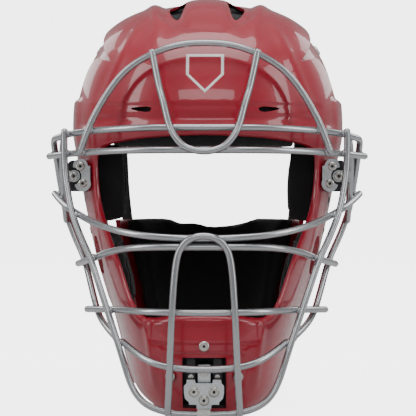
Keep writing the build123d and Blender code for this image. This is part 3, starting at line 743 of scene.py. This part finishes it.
def plate_relief(p):
    x, z = np.abs(p[..., 0]), p[..., 2]
    out = 1.6 * hump(z, 148 - 8 * step(44 - x, 0, 44), 5) * (1 - hump(x, 84, 18)) + 1.3 * hump(z, 10, 5)
    return out - 1.5 * step(44 - x, 0, 5) * step(z, 42, 48) * step(126 - z, 0, 6)


verts, faces = wall_from(plate_grid(REAR_OUT, 0.6, plate_relief), plate_grid(REAR_IN, 0.6))
plate = outward_faces(new_object("nape_plate_moulding", verts, faces, RED))
cut(plate, [cutter(slot_outline(x, 84, 34, 7, 90), from_front, 40, 160) for x in (-26, 26)])
bevel = plate.modifiers.new("edge", "BEVEL")
bevel.width, bevel.segments = 0.0009, 3
bevel.limit_method, bevel.angle_limit = "ANGLE", math.radians(50)
mesh_of(plate)
sharpen(plate, 40)
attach(plate, "nape")
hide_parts("nape_plate")


# ---- cage
WIRE_R = 2.75
PERIMETER = ((9, -156, 8), (28, -155.5, 9.2), (43, -152.5, 13.5), (52.5, -149, 20.5), (59.5, -145, 32),
             (67, -140, 56), (77, -132, 85), (85, -126, 108), (92.5, -120, 130), (101, -114, 147),
             (109.5, -107, 168), (113.5, -101.8, 188), (116.2, -97.8, 210), (116, -96.2, 234))
UPPER_BROW = ((0, -146, 236), (45, -140.5, 236), (85, -119, 234.5), (112.9, -93.3, 231.5), (124, -72, 228.5),
              (129.5, -55, 227), (127, -48, 210), (125.5, -46, 198), (122.8, -45, 182), (120, -46, 166),
              (112.5, -49, 146), (104.5, -54, 130), (100, -60, 117), (94.5, -72, 98), (89, -86, 82),
              (80, -110, 72.5), (71.6, -131.9, 67.3))
LOWER_BROW = ((0, -150, 218), (45, -144, 218), (85, -121.5, 217), (112.9, -95.2, 215), (124.5, -72, 214),
              (133.4, -47.5, 213))
BROW_ARCH = ((0, -118.5, 305), (22, -118, 303.5), (45, -116.5, 295.5), (66, -114, 282), (82, -113.5, 260.5),
             (95.3, -116.4, 235), (101.6, -113, 216.5))
BROW_LOOP = ((0, -153.6, 216.8), (8, -153.6, 217.6), (16.5, -152.6, 221), (23.8, -150.8, 229),
             (28.4, -147.8, 239), (32.8, -140, 257), (37.5, -131, 272), (42.4, -121.5, 297.5))
CHEEK_UPPER = ((0, -165, 148), (30, -162, 148.8), (58, -151, 151), (86, -128.5, 157.5), (104.8, -105, 166),
               (119, -78, 173), (129.4, -42, 181.3))
CHEEK_LOWER = ((0, -166, 141.5), (30, -162.5, 141.5), (58, -150.5, 140.5), (77, -133, 136.5),
               (88.8, -117.6, 130.8), (98.4, -92, 127), (108.4, -54.5, 122.5))
MOUTH_BAR = ((0, -170, 90), (25, -167.5, 90), (47, -158, 90), (65, -141, 90), (74, -128.8, 89.5),
             (85.4, -107.2, 88), (99.2, -74, 85.5))
CHIN_BAR = ((0, -168, 45), (22, -166, 46), (38, -161, 48.5), (54, -149, 55.5), (65.8, -134.9, 64))
MOUTH_LOOP = ((0, -169.3, 150.8), (8, -169.3, 149.6), (16.5, -168.9, 144), (22, -168.6, 132),
              (24.8, -172.3, 90), (26.4, -170.5, 47), (28.6, -160.3, 9.5))
SIDE_BRACE = ((118.6, -73, 229.5), (121.0, -69, 213), (120.4, -66, 193), (119.3, -60, 172), (118.5, -52, 159))


def across(half):
    return [(-x, y, z) for x, y, z in reversed(half) if x > 0] + list(half)


def rounded_path(points, spacing=2.2):
    """Quadratic spline that starts and ends at the end points."""
    p = np.array(points, float)
    n = len(p)
    knots = np.concatenate([[0, 0, 0], np.arange(1, n - 2), [n - 2] * 3]).astype(float)
    out = []
    for u in np.linspace(0, n - 2, (n - 2) * 24 + 1):
        k = min(int(u), n - 3) + 2
        d = [p[k - 2 + j] for j in range(3)]
        for r in (1, 2):
            for j in range(2, r - 1, -1):
                i = j + k - 2
                a = (u - knots[i]) / (knots[i + 3 - r] - knots[i])
                d[j] = (1 - a) * d[j - 1] + a * d[j]
        out.append(d[2])
    out = np.array(out)
    length = np.linalg.norm(np.diff(out, axis=0), axis=1).sum()
    return resample(out, max(int(length / spacing), 8))


def tube(path, radius, sides=20, round_ends=True):
    """Round bar with domed ends along a path."""
    p = np.array(path, float)
    t = np.gradient(p, axis=0)
    t /= np.linalg.norm(t, axis=1)[:, None]
    rings, radii = [], []
    if round_ends:
        dome = [math.radians(a) for a in (88, 70, 48, 24)]
        rings += [p[0] - t[0] * radius * 0.75 * math.sin(a) for a in dome]
        radii += [radius * math.cos(a) for a in dome]
    rings += list(p)
    radii += [radius] * len(p)
    tangents = [t[0]] * (len(rings) - len(p)) + list(t)
    if round_ends:
        rings += [p[-1] + t[-1] * radius * 0.75 * math.sin(a) for a in reversed(dome)]
        radii += [radius * math.cos(a) for a in reversed(dome)]
        tangents += [t[-1]] * len(dome)
    side = np.cross(tangents[0], (0.13, 0.31, 0.94))
    side /= np.linalg.norm(side)
    verts = []
    for c, r, d in zip(rings, radii, tangents):
        side = side - d * np.dot(side, d)
        side /= np.linalg.norm(side)
        up = np.cross(d, side)
        for k in range(sides):
            a = 2 * math.pi * k / sides
            verts.append(c + r * (math.cos(a) * side + math.sin(a) * up))
    count = len(rings)
    faces = ring_faces(count, sides)
    faces += [tuple(range(sides - 1, -1, -1)), tuple(range((count - 1) * sides, count * sides))]
    return verts, faces


WIRES = {
    "perimeter_wire": [across(PERIMETER)], "upper_brow_wire": [across(UPPER_BROW)],
    "lower_brow_wire": [across(LOWER_BROW)], "brow_arch_wire": [across(BROW_ARCH)],
    "brow_loop_wire": [across(BROW_LOOP)], "upper_cheek_wire": [across(CHEEK_UPPER)],
    "lower_cheek_wire": [across(CHEEK_LOWER)], "mouth_wire": [across(MOUTH_BAR)],
    "chin_wire": [across(CHIN_BAR)], "mouth_loop_wire": [across(MOUTH_LOOP)],
    "side_brace_wires": [SIDE_BRACE, [(-x, y, z) for x, y, z in SIDE_BRACE]],
}
paths = {}
for name, routes in WIRES.items():
    verts, faces = [], []
    paths[name] = [rounded_path(route) for route in routes]
    for path in paths[name]:
        v, f = tube(path, WIRE_R)
        faces += [tuple(i + len(verts) for i in g) for g in f]
        verts += v
    wire = outward_faces(new_object(name + "_coated", verts, faces, COAT))
    sharpen(wire, 50)
    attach(wire, "cage")
    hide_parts(name)


# weld beads where wires cross
WELD_GAP = 6.6  # wires closer than this, middle to middle, are welded
BEAD_R, BEAD_HALF = 3.1, 2.3
BEAD_RINGS, BEAD_SIDES = 9, 16


def crossings():
    names = list(paths)
    found = []
    for i, a in enumerate(names):
        for b in names[i + 1:]:
            for pa in paths[a]:
                for pb in paths[b]:
                    d = np.linalg.norm(pa[:, None] - pb[None], axis=2)
                    while d.min() < WELD_GAP:
                        k, m = np.unravel_index(d.argmin(), d.shape)
                        found.append((pa[k], pb[m], d[k, m]))
                        near = np.linalg.norm(pa - pa[k], axis=1) < 16
                        d[near] = 99
    return found


bead_verts, bead_faces = [], []
random_state = np.random.RandomState(7)
for a, b, gap in crossings():
    axis = (b - a) / gap
    turn = Vector(axis).to_track_quat("Z", "Y").to_matrix()
    rough = random_state.uniform(0.92, 1.1, 3)
    base = len(bead_verts)
    for i in range(BEAD_RINGS):
        lat = math.pi * i / (BEAD_RINGS - 1)
        for k in range(BEAD_SIDES):
            lon = 2 * math.pi * k / BEAD_SIDES
            local = Vector((BEAD_R * rough[0] * math.sin(lat) * math.cos(lon),
                            BEAD_R * rough[1] * math.sin(lat) * math.sin(lon), BEAD_HALF * math.cos(lat)))
            wobble = 1 + 0.06 * math.sin(3 * lon + rough[2] * 9) * math.sin(lat)
            bead_verts.append(tuple(np.array(turn @ local) * wobble + (a + b) / 2))
    bead_faces += ring_faces(BEAD_RINGS, BEAD_SIDES, base)
beads = outward_faces(new_object("cage_weld_beads", bead_verts, bead_faces, COAT))
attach(beads, "cage")


# ---- pads and liner
def coords_of(obj):
    out = np.empty(len(obj.data.vertices) * 3)
    obj.data.vertices.foreach_get("co", out)
    out = out.reshape(-1, 3) / MM
    out[:, 1] -= ORIGIN_Y
    return out


def put_coords(obj, points):
    obj.data.vertices.foreach_set("co", to_world(points).ravel())
    obj.data.update()


def vertex_normals(obj):
    out = np.empty(len(obj.data.vertices) * 3)
    obj.data.vertices.foreach_get("normal", out)
    return out.reshape(-1, 3)


def modifier(obj, kind, **settings):
    m = obj.modifiers.new(kind.lower(), kind)
    for k, v in settings.items():
        setattr(m, k, v)
    return m


def keep_under(points, depth):
    """Moves points that stand outside the skin at a depth back to it."""
    p = points.copy()
    for _ in range(4):
        f = field(p, depth)
        g = rise(p, depth) / (2 * NUDGE)
        size = np.maximum(np.linalg.norm(g, axis=1), 1e-6)
        move = np.where(f > 0, np.clip(f / size, 0, 4), 0)
        p -= g / size[:, None] * move[:, None]
    return p


def side_sign(node):
    """1 where a node lies at positive X, and -1 where it doesn't."""
    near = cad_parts[node]
    return 1 if (near.matrix_world @ Vector(near.bound_box[0])).x > 0 else -1


def cushion(node, voxel, shrink, cap, look=FABRIC, wall=4.4, pressure=4.0, body="helmet"):
    """Soft pad grown from the space its CAD solid holds."""
    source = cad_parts[node]
    mesh = source.data.copy()
    mesh.transform(source.matrix_world)
    obj = bpy.data.objects.new(node + "_cover", mesh)
    bpy.context.scene.collection.objects.link(obj)
    mesh.materials.clear()
    mesh.materials.append(look)
    modifier(obj, "REMESH", mode="VOXEL", voxel_size=voxel * MM)
    modifier(obj, "SMOOTH", factor=0.5, iterations=3)
    mesh_of(obj)
    start = coords_of(obj) - vertex_normals(obj) * shrink
    put_coords(obj, start)
    if pressure:
        cloth = modifier(obj, "CLOTH")
        cloth.settings.use_pressure = True
        cloth.settings.uniform_pressure_force = pressure
        cloth.settings.effector_weights.gravity = 0
        cloth.settings.quality = 4
        cloth.point_cache.frame_start, cloth.point_cache.frame_end = 1, 20
        for k in range(1, 21):
            bpy.context.scene.frame_set(k)
        mesh_of(obj)
        bpy.context.scene.frame_set(1)
        moved = coords_of(obj) - start
        size = np.maximum(np.linalg.norm(moved, axis=1), 1e-9)
        put_coords(obj, start + moved * np.minimum(1, cap / size)[:, None])
    modifier(obj, "SMOOTH", factor=0.5, iterations=2)
    modifier(obj, "SUBSURF", levels=1, render_levels=1)
    mesh_of(obj)
    put_coords(obj, keep_under(coords_of(obj), wall))
    obj.data.polygons.foreach_set("use_smooth", [True] * len(obj.data.polygons))
    obj.data.materials.clear()
    obj.data.materials.append(look)
    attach(obj, body)
    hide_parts(node)
    return obj


def inset(points, amount):
    """Closed outline moved inward, with rounded corners."""
    p = np.array(round_outline(points, 3), float)
    p = resample(np.vstack([p, p[:1]]), 140)[:-1]
    t = np.roll(p, -1, axis=0) - np.roll(p, 1, axis=0)
    t /= np.linalg.norm(t, axis=1)[:, None]
    area = np.sum(p[:, 0] * np.roll(p[:, 1], -1) - np.roll(p[:, 0], -1) * p[:, 1])
    n = np.stack([-t[:, 1], t[:, 0]], 1) * (1 if area > 0 else -1)
    return p + n * amount


def seam(obj, starts, direction, name, body="helmet", groove=1.5):
    """Piped seam laid on a pad where rays from the inside meet it, in a shallow groove."""
    corners = [v.co[:] for v in obj.data.vertices]
    tree = BVHTree.FromPolygons(corners, [tuple(f.vertices) for f in obj.data.polygons])
    hits = []
    for at in to_world(np.array(starts, float)):
        found = tree.ray_cast(Vector(at), Vector(direction))
        if found[0] is not None:
            hits.append(np.array(found[0]) / MM - (0, ORIGIN_Y, 0))
    if len(hits) < 20:
        return
    line = np.array(hits)
    for _ in range(2):
        line = 0.5 * line + 0.25 * (np.roll(line, 1, axis=0) + np.roll(line, -1, axis=0))
    p = coords_of(obj)
    n = vertex_normals(obj)
    d = np.min(np.linalg.norm(p[:, None] - line[None, ::2], axis=2), axis=1)
    put_coords(obj, p - n * (groove * np.exp(-((d / 3.2) ** 2)))[:, None])
    verts, faces = tube(np.vstack([line, line[:1]]) + np.array(direction) * 0.5, 0.85, 8, False)
    welt = outward_faces(new_object(name, verts, faces, WEBBING))
    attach(welt, body)


SIDE_PAD = ((-64, 225), (44, 225), (44, 176), (30, 163), (-50, 163), (-60, 172))
JAW_PAD = ((-72, 140), (34, 152), (34, 118), (22, 84), (-60, 84), (-78, 104))
BROW_PAD = ((-66, 222), (66, 222), (66, 258), (-66, 258))
CROWN_SEAM_R = 34
# two shapes that reach past their CAD solids: the foot of the side pads and the top of the nape pad
SIDE_FOOT_DROP = 7.0
NAPE_TOP_RISE = 8.5
NAPE_WALL = 8.5
cushion("crown_liner", 3.2, 0.3, 0.0, FOAM, pressure=0)
crown = cushion("crown_pad", 4, 1.6, 3.0)
crown_turns = np.linspace(0, 2 * math.pi, 120, endpoint=False)
crown_ring = [(CROWN_SEAM_R * math.cos(a), 6 + CROWN_SEAM_R * math.sin(a), 200) for a in crown_turns]
seam(crown, crown_ring, (0, 0, 1), "crown_pad_seam")
brow = cushion("forehead_pad", 4, 1.6, 3.0)
seam(brow, [(x, 0, z) for x, z in inset(BROW_PAD, 6)], (0, -1, 0), "forehead_pad_seam")
cushion("chin_pad", 4, 1.2, 2.4)
for tag in ("right", "left"):
    sign = side_sign("side_pad_" + tag)
    pad = cushion("side_pad_" + tag, 4.5, 1.8, 4.0)
    p = coords_of(pad)
    p[:, 2] -= SIDE_FOOT_DROP * step(188 - p[:, 2], 0, 22)
    put_coords(pad, keep_under(p, 4.4))
    side_ring = [(0, y, z - SIDE_FOOT_DROP * (z < 180)) for y, z in inset(SIDE_PAD, 11)]
    seam(pad, side_ring, (sign, 0, 0), "side_pad_seam_" + tag)
    pad = cushion("jaw_pad_" + tag, 4.5, 1.6, 3.5)
    seam(pad, [(0, y, z) for y, z in inset(JAW_PAD, 9)], (sign, 0, 0), "jaw_pad_seam_" + tag)
nape = cushion("nape_pad", 4.5, 1.5, 3.5, body="nape", wall=NAPE_WALL)
p = coords_of(nape)
p[:, 2] += NAPE_TOP_RISE * step(p[:, 2], 100, 146)
put_coords(nape, keep_under(p, NAPE_WALL))


# ---- straps
def strap(name, node, path_at, rows, cols, blend_from, blend_to):
    """Woven strap: path_at(u, v, layer) gives its surface, u along and v across."""
    us, vs = np.linspace(0, 1, rows), np.linspace(-1, 1, cols)
    layers = [np.array([[path_at(u, v, layer) for v in vs] for u in us]) for layer in (0, 1)]
    verts, faces = wall_from(*layers)
    obj = outward_faces(new_object(name, verts, faces, WEBBING))
    modifier(obj, "BEVEL", width=0.0005, segments=2, limit_method="ANGLE", angle_limit=math.radians(50))
    mesh_of(obj)
    sharpen(obj, 50)
    tuple(to_world(blend_from))
    tuple(to_world(blend_to))
    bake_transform(obj)
    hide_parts(node)


for tag in ("left", "right"):
    sign = side_sign("upright_strap_" + tag)

    def upright_at(u, v, layer, sign=sign):
        z = 128 + 124 * u
        edge = 1 - 0.25 * abs(v) ** 8
        depth = 4.0 if layer else 2.3 + 0.22 * abs(v) ** 10 + 0.10 * (math.cos(6 * math.pi * v) < -0.2)
        end = 9.5 * (1 - max(0, (abs(u - 0.5) - 0.46) / 0.04) ** 4 * 0.25) * edge
        p = level_point(np.array([43 + math.degrees(v * end / 112)]), z, depth)[0]
        return (sign * p[0], p[1], p[2])

    def side_at(u, v, layer, sign=sign):
        y, z = 24 + 54 * u, 83 + 9 * v * (1 - max(0, (abs(u - 0.5) - 0.45) / 0.05) ** 4 * 0.25)
        depth = -0.5 if layer else -2.2 + 0.22 * abs(v) ** 10 + 0.10 * (math.cos(6 * math.pi * v) < -0.2)
        return (sign * float(side_x(y, z, depth)), y, z)

    x = sign * 84.0
    strap("upright_strap_weave_" + tag, "upright_strap_" + tag, upright_at, 80, 31,
          (x, 85, 222), (x, 85, 160))
    strap("side_strap_weave_" + tag, "side_strap_" + tag, side_at, 50, 31,
          (sign * 78, 38, 83), (sign * 78, 64, 83))


# ---- forehead mark
PLATE_MARK = ((-15.5, 296), (15.5, 296), (15.5, 279), (0, 264), (-15.5, 279))


def mark_ring(amount):
    p = np.array(PLATE_MARK, float)
    middle = np.array((0, 282.0))
    closed = np.vstack([p, p[:1]])
    line = np.vstack([np.linspace(a, b, 25)[:-1] for a, b in zip(closed[:-1], closed[1:])])
    return middle + (line - middle) * (1 - amount / 15.5)


rings = [mark_ring(a) for a in (0, 0.15, 1.3, 2.45, 2.6)]
lifts = (-0.3, 0.12, 0.16, 0.12, -0.3)
mark_points = []
for ring, lift in zip(rings, lifts):
    x, z = ring[:, 0], ring[:, 1]
    base = np.stack([x, front_y(x, z), z], -1)
    mark_points.append(base + normals(base) * (relief(base) + lift)[:, None])
grid = np.stack(mark_points, 1)
verts, faces = grid.reshape(-1, 3), grid_faces(grid.shape[0], 5, True)
mark = outward_faces(new_object("forehead_mark", verts, faces, WHITE_INK))
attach(mark, "helmet")


# ---- springs
SIDE_SPRING_X, SIDE_SPRING_Z = 110.3, 196.5


def coil_spring(name, node, x, z, y0, y1, radius, wire, turns):
    """Compression spring along Y with closed ends, from y0 to y1."""
    steps = int(turns * 24)
    turn = np.linspace(0, turns, steps + 1)
    pitch = 2.1 * wire + step(turn, 0.7, 1.3) * step(turns - turn, 0.7, 1.3) * 3.0 * wire
    y = np.concatenate([[0], np.cumsum((pitch[1:] + pitch[:-1]) / 2)])
    y = y0 + wire + y / y[-1] * (y1 - y0 - 2 * wire)
    a = 2 * math.pi * turn
    verts, faces = tube(np.stack([x + radius * np.cos(a), y, z + radius * np.sin(a)], 1), wire, 10)
    obj = outward_faces(new_object(name, verts, faces, STEEL))
    tuple(to_world((x, y0 + 1.0, z)))
    tuple(to_world((x, y1 - 1.0, z)))
    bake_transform(obj)
    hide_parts(node)


for tag in ("left", "right"):
    node = "side_spring_" + tag
    at_x = side_sign(node) * SIDE_SPRING_X
    coil_spring("side_spring_coil_" + tag, node, at_x, SIDE_SPRING_Z, -68.2, -42.1, 3.1, 0.55, 9)
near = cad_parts["chin_spring"]
ends = [(near.matrix_world @ Vector(c)).y / MM - ORIGIN_Y for c in near.bound_box]
coil_spring("chin_spring_coil", "chin_spring", 0, 41.0, min(ends), max(ends), 5.4, 0.9, 7)


# ---- painted shade: dark hexagons laid in the screws' sockets where shade falls
def socket_shade_discs(name, places, body):
    """Dished dark hexagons just above the floors of the screws' sockets, as painted shade in the sockets."""
    verts, faces = [], []
    for at, normal in places:
        turn = Vector(normal).to_track_quat("Z", "Y").to_matrix()
        base = len(verts)
        for r, h in ((1.2, 0.55), (0.95, 0.16), (0.4, 0.05)):
            for k in range(6):
                a = math.radians(60 * k)
                verts.append(tuple(np.array(turn @ Vector((r * math.cos(a), r * math.sin(a), h))) + at))
        for ring in (0, 1):
            for k in range(6):
                i, j = base + ring * 6 + k, base + ring * 6 + (k + 1) % 6
                faces.append((i, j, j + 6, i + 6))
        faces.append(tuple(range(base + 12, base + 18)))
    obj = new_object(name, verts, faces, DARK_SCREW_AND_SOCKET_SHADE, False)
    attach(obj, body)


ahead = np.array((0.0, -1.0, 0.0))
fixed = [(np.array((s * x, -76.5, z)), ahead) for s in (1, -1) for x, z in ((104.7, 204.7), (102.8, 190.4))]
for x, z in ((0, 62.0), (27.0, 37.0), (-27.0, 37.0)):
    at = np.array((x, float(front_y(x, z)), z))
    out = normals(at[None])[0]
    fixed.append((at + out * 1.0, out))
sprung = [(np.array((s * SIDE_SPRING_X, -73.5, SIDE_SPRING_Z)), ahead) for s in (1, -1)]
sprung += [(np.array((x, -154.6, z)), ahead) for x, z in ((8.0, 26.0), (-8.0, 26.0), (0, 19.2))]
# painted shade in the sockets of the screws on the helmet and on the cage
socket_shade_discs("socket_floors_helmet", fixed, "helmet")
socket_shade_discs("socket_floors_cage", sprung, "cage")


# ---- studio
def studio():
    world = bpy.data.worlds.new("studio")
    bpy.context.scene.world = world
    world.use_nodes = True
    world.node_tree.nodes["Background"].inputs["Color"].default_value = (1.0, 1.0, 1.0, 1.0)
    world.node_tree.nodes["Background"].inputs["Strength"].default_value = 0.5
    s = Shader("studio_pale", (0.5, 0.5, 0.5), 0.9)
    s.set("Emission Color", (1.0, 1.0, 1.0, 1.0))
    seen = s.node("ShaderNodeLightPath").outputs["Is Camera Ray"]
    s.vary("Emission Strength", s.ramp(seen, 0.0, 1.0, 0.10, 4.2))
    profile = [(r, 0.0) for r in np.linspace(0.02, 3.0, 12)]
    profile += [(3.0 + 1.2 * math.sin(a), 1.2 - 1.2 * math.cos(a)) for a in np.linspace(0.1, math.pi / 2, 14)]
    profile.append((4.2, 4.5))
    turns = np.linspace(0, 2 * math.pi, 96, endpoint=False)
    verts = [(r * math.cos(a), r * math.sin(a), z) for a in turns for r, z in profile]
    mesh = bpy.data.meshes.new("studio_floor")
    middle = tuple(i * len(profile) for i in range(len(turns)))
    mesh.from_pydata(verts, [], grid_faces(len(turns), len(profile), True) + [middle])
    mesh.materials.append(s.mat)
    mesh.polygons.foreach_set("use_smooth", [True] * len(mesh.polygons))
    floor = bpy.data.objects.new("studio_floor", mesh)
    bpy.context.scene.collection.objects.link(floor)

    def lamp(name, at, size, power, aim=(0, 0, 0.18)):
        data = bpy.data.lights.new(name, "AREA")
        data.shape, data.size, data.size_y, data.energy = "RECTANGLE", size[0], size[1], power
        obj = bpy.data.objects.new(name, data)
        obj.location = at
        obj.rotation_euler = (Vector(aim) - Vector(at)).to_track_quat("-Z", "Y").to_euler()
        bpy.context.scene.collection.objects.link(obj)

    lamp("key_left", (-1.3, -0.7, 0.9), (0.4, 1.4), 8)
    lamp("key_right", (1.3, -0.6, 0.8), (0.4, 1.4), 7)
    lamp("top", (0, -0.25, 1.5), (1.1, 0.8), 10)
    lamp("front", (0.0, -2.3, 1.4), (1.5, 0.5), 8)
    lamp("back_left", (-1.2, 1.3, 1.0), (0.7, 1.0), 6)
    lamp("back_right", (1.2, 1.3, 1.0), (0.7, 1.0), 6)


studio()
data = bpy.data.cameras.new("camera")
data.lens, data.sensor_width = 169.0, 36.0
camera = bpy.data.objects.new("camera", data)
azimuth, elevation, distance = math.radians(1.2), math.radians(1.5), 1.7
aim = Vector((0, ORIGIN_Y * MM, 0.168))
level = math.cos(elevation)
heading = Vector((math.sin(azimuth) * level, -math.cos(azimuth) * level, math.sin(elevation)))
camera.location = aim + distance * heading
camera.rotation_euler = (aim - camera.location).to_track_quat("-Z", "Y").to_euler()
bpy.context.scene.collection.objects.link(camera)
bpy.context.scene.camera = camera
